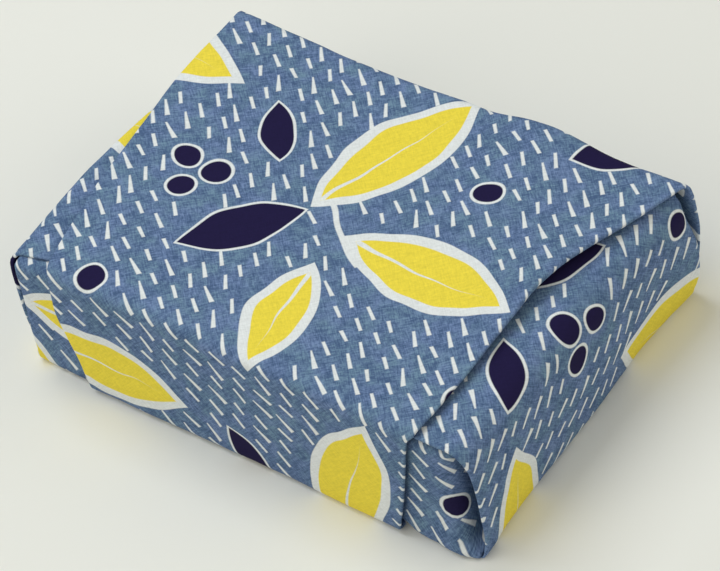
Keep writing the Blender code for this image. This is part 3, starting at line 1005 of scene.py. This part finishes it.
@dataclass(frozen=True)
class PrintedCotton:
    """Plain-woven cotton with a leaf print on dusty blue."""
    ground: tuple = (0.164, 0.241, 0.432, 1.0)
    ground_grey: tuple = (0.156, 0.257, 0.370, 1.0)
    ground_dark: tuple = (0.067, 0.119, 0.243, 1.0)
    white: tuple = (0.75, 0.78, 0.80, 1.0)
    yellow: tuple = (0.835, 0.68, 0.068, 1.0)
    navy: tuple = (0.012, 0.008, 0.050, 1.0)
    roughness: float = 0.93
    gloss: float = 0.18
    warp: Noise = Noise(2.3, 0.30, 1.7, 2.0)
    weft: Noise = Noise(0.30, 2.3, 5.1, 2.0)
    mottle: Noise = Noise(1.5, 1.5, 9.4, 3.0)
    thread_weight: float = 0.36
    dye: Noise = Noise(0.26, 0.26, 2.6, 3.0)
    dye_contrast: float = 1.4
    tint: Noise = Noise(0.13, 0.13, 6.8, 3.0)
    tint_contrast: float = 4.6
    slub_contrast: float = 4.7
    shade_contrast: float = 0.7
    relief: float = 0.45
    relief_depth: float = 0.00016
    ink_edge: float = 0.3
    cuts: tuple[Noise, Noise] = (Noise(0.09, 0.09, 3.3, 0.0), Noise(0.09, 0.09, 7.7, 0.0))
    cut_depth: float = 2.4
    motif: Motif = Motif()
    dashes: Dashes = Dashes()

    def material(self, square: float) -> bpy.types.Material:
        """Makes the cotton's material.

        Args:
            square: side of the flat cloth, in metres.

        Returns:
            The material.
        """
        tree = Tree("printed_cotton")
        chart = tree.node("ShaderNodeUVMap", {"uv_map": PLAN_MAP})
        spot = Spot(*((part - 0.5) * (square * MM_PER_METRE) for part in chart.parts(2)))
        threads = self.threads(spot)
        heights = {"Strength": self.relief, "Distance": self.relief_depth, "Height": threads}
        tree.feed({
            "Base Color": self.printed(spot, threads),
            "Roughness": self.roughness,
            "Specular IOR Level": self.gloss,
            "Normal": tree.node("ShaderNodeBump", None, heights),
        })
        return tree.material

    def noise(self, kind: Noise, spot: Spot) -> Value:
        """Smooth noise about 0.

        Args:
            kind: which noise.
            spot: the place on the cloth.

        Returns:
            The noise.
        """
        tree = spot.x.tree
        parts = {0: spot.x * kind.across, 1: spot.y * kind.along, 2: kind.layer}
        place = tree.node("ShaderNodeCombineXYZ", None, parts)
        inputs = {"Vector": place, "Scale": 1.0, "Detail": kind.detail}
        return tree.node("ShaderNodeTexNoise", None, inputs) - 0.5

    def threads(self, spot: Spot) -> Value:
        """Height of the uneven threads both ways, with a fine mottle."""
        warp, weft, mottle = (self.noise(kind, spot) for kind in (self.warp, self.weft, self.mottle))
        return (warp + weft) * self.thread_weight + mottle * (1 - 2 * self.thread_weight)

    def tile(self, spot: Spot) -> Spot:
        """The place on the repeat, whose odd columns are shifted by half a repeat.

        Args:
            spot: the place on the cloth.

        Returns:
            The place, from the middle of the repeat.
        """
        repeat, (start_x, start_y) = self.motif.repeat, self.motif.start
        column = ((spot.x + start_x) / repeat + 0.5).floor()
        shifted = spot.y + (column % 2.0) * (repeat / 2) + (start_y + repeat / 2)
        return Spot(spot.x - column * repeat + start_x, shifted % repeat - repeat / 2)

    def shapes(self, spot: Spot) -> tuple[Value, Value, Value]:
        """How far inside the yellow leaves, the navy shapes and the stem a place is.

        Args:
            spot: the place on the repeat.

        Returns:
            Three values in millimetres, negative outside.
        """
        motif = self.motif
        yellow, navy = (largest(shape.inside(spot) for shape in shapes)
                        for shapes in (motif.yellow_leaves, motif.navy_leaves + motif.berries))
        arch = spot.y - spot.x * spot.x * motif.stem_bend
        stem = (motif.stem_half_length - abs(spot.x)).least(motif.stem_half_width - abs(arch))
        return yellow, navy, stem

    def printed(self, spot: Spot, threads: Value) -> Value:
        """The colours of the print.

        Args:
            spot: the place on the cloth.
            threads: the uneven threads, which show through the inks.

        Returns:
            The colour.
        """
        motif = self.motif
        cut_x, cut_y = (self.noise(kind, spot) * self.cut_depth for kind in self.cuts)
        on_repeat = self.tile(Spot(spot.x + cut_x, spot.y + cut_y))
        yellow, navy, stem = self.shapes(on_repeat)
        ribs = largest(leaf.in_rib(on_repeat, motif.rib_end, motif.rib_width) for leaf in motif.yellow_leaves)
        dye, tint = (self.noise(kind, spot) for kind in (self.dye, self.tint))
        show = threads * self.slub_contrast + dye * self.dye_contrast + 0.5
        ground = mixed((tint * self.tint_contrast + 0.5).clamped(), self.ground_grey, self.ground)
        ground = mixed(show.clamped(), self.ground_dark, ground)
        colour = mixed(self.stitches(spot), ground, self.white)
        for inside, level, ink in (
            (stem, 0.0, self.white), (yellow, -motif.border, self.white), (yellow, 0.0, self.yellow),
            (ribs, 0.0, self.white), (navy, -motif.outline, self.white), (navy, 0.0, self.navy),
        ):
            colour = mixed(inside.above(level, self.ink_edge), colour, ink)
        shade = threads * self.shade_contrast + 1.0
        return shade.tree.node("ShaderNodeVectorMath", {"operation": "SCALE"}, {0: colour, "Scale": shade})

    def stitches(self, spot: Spot) -> Value:
        """The dashes: 1 on a dash and 0 beside it. A dash whose middle lies too near a sprig is left out.

        Args:
            spot: the place on the cloth.

        Returns:
            The share of white.
        """
        dashes, (across, along) = self.dashes, spot
        column = (along / dashes.gap_across).floor()
        stagger = (column % dashes.stagger) * (dashes.gap_along / dashes.stagger)
        row = ((across + stagger) / dashes.gap_along).floor()
        cell = across.tree.node("ShaderNodeCombineXYZ", None, {0: column, 1: row})
        chances = cell.tree.node("ShaderNodeTexWhiteNoise", None, {"Vector": cell}, "Color")
        long, leaning, aside = chances.parts(3)
        middle = (column + 0.5) * dashes.gap_across
        centre = (row + 0.5) * dashes.gap_along - stagger
        up = across - centre
        right = along - middle - (aside - 0.5) * dashes.wander - up * (leaning - 0.5) * dashes.lean
        half = (long - 0.5) * (dashes.half_length * dashes.uneven_length) + dashes.half_length
        widening = (long - dashes.taper_back) * dashes.taper
        inside = (half - abs(up)).least(up * widening + dashes.half_width - abs(right))
        yellow, navy, stem = self.shapes(self.tile(Spot(centre, middle)))
        room = (yellow + self.motif.border).most(navy + self.motif.outline).most(stem)
        return inside.above(0.0, self.ink_edge) * (1 - room.above(-dashes.clear, dashes.sharp))


# ---------------------------------------------------------------- studio

class Lamp(NamedTuple):
    """A square lamp that faces the parcel."""
    name: str
    place: tuple[float, float, float]
    size: float
    power: float
    colour: tuple[float, float, float]


@dataclass(frozen=True)
class Studio:
    """A plain pale floor, soft light from the upper left, and the camera of the photograph's view.

    shift is where the parcel's middle lies in the frame.
    """
    shift: Vector
    floor_size: float = 6.0
    floor_colour: tuple = (0.825, 0.822, 0.79, 1.0)
    floor_roughness: float = 0.95
    camera_place: tuple = (0.54368, -0.60387, 0.85444)
    look: tuple = (-0.466, 0.519, -0.717)
    up: tuple = (-0.347, 0.638, 0.688)
    lens: float = 200.0
    sky_colour: tuple = (1.0, 0.985, 0.88, 1.0)
    sky_strength: float = 0.19
    lamps: tuple[Lamp, ...] = (
        Lamp("window", (-0.60, -0.02, 1.26), 1.0, 10.7, (0.91, 0.965, 1.0)),
        Lamp("front_reflector", (-0.25, -2.00, 1.85), 2.6, 32.0, (1.0, 0.98, 0.87)),
        Lamp("side_reflector", (1.38, 0.70, 0.98), 1.5, 10.6, (1.0, 0.985, 0.88)),
    )

    def build(self) -> None:
        """Sets the stage up."""
        self.floor()
        self.lights()
        self.camera()
        bpy.context.scene.view_settings.view_transform = "Standard"

    def floor(self) -> None:
        """Adds the floor."""
        mesh = bpy.data.meshes.new("studio_floor")
        half = self.floor_size / 2
        corners = [(x * half, y * half, 0) for x, y in ((-1, -1), (1, -1), (1, 1), (-1, 1))]
        mesh.from_pydata(corners, [], [range(len(corners))])
        floor = bpy.data.objects.new("studio_floor", mesh)
        bpy.context.collection.objects.link(floor)
        tree = Tree("pale_floor")
        tree.feed({"Base Color": self.floor_colour, "Roughness": self.floor_roughness})
        mesh.materials.append(tree.material)

    def lights(self) -> None:
        """Adds the even light of the room and the soft lamps."""
        world = bpy.data.worlds.new("studio")
        world.use_nodes = True
        sky = world.node_tree.nodes["Background"].inputs
        sky["Color"].default_value = self.sky_colour
        sky["Strength"].default_value = self.sky_strength
        bpy.context.scene.world = world
        for lamp in self.lamps:
            data = bpy.data.lights.new(lamp.name, "AREA")
            data.size = lamp.size
            data.energy = lamp.power
            data.color = lamp.colour
            light = bpy.data.objects.new(lamp.name, data)
            light.location = lamp.place
            light.rotation_mode = "QUATERNION"
            light.rotation_quaternion = (-light.location).to_track_quat("-Z", "Y")
            bpy.context.collection.objects.link(light)

    def camera(self) -> None:
        """Adds the camera."""
        data = bpy.data.cameras.new("camera")
        data.lens = self.lens
        camera = bpy.data.objects.new("camera", data)
        back = -Vector(self.look).normalized()
        right = Vector(self.up).cross(back).normalized()
        true_up = back.cross(right)
        turn = Matrix((right, true_up, back)).transposed().to_4x4()
        camera.matrix_world = Matrix.Translation(Vector(self.camera_place) + self.shift) @ turn
        bpy.context.collection.objects.link(camera)
        bpy.context.scene.camera = camera


def main() -> None:
    """Builds the studio and the cloth, and reports the cloth's number of faces."""
    logging.basicConfig(level=logging.INFO, format="%(message)s")
    wrap = WrappedCloth()
    Studio(wrap.parcel.shift).build()
    cloth = wrap.build()
    wrap.dress(cloth)
    log.info("%s: %d faces", cloth.name, len(cloth.data.polygons))


if __name__ == "__main__":
    main()
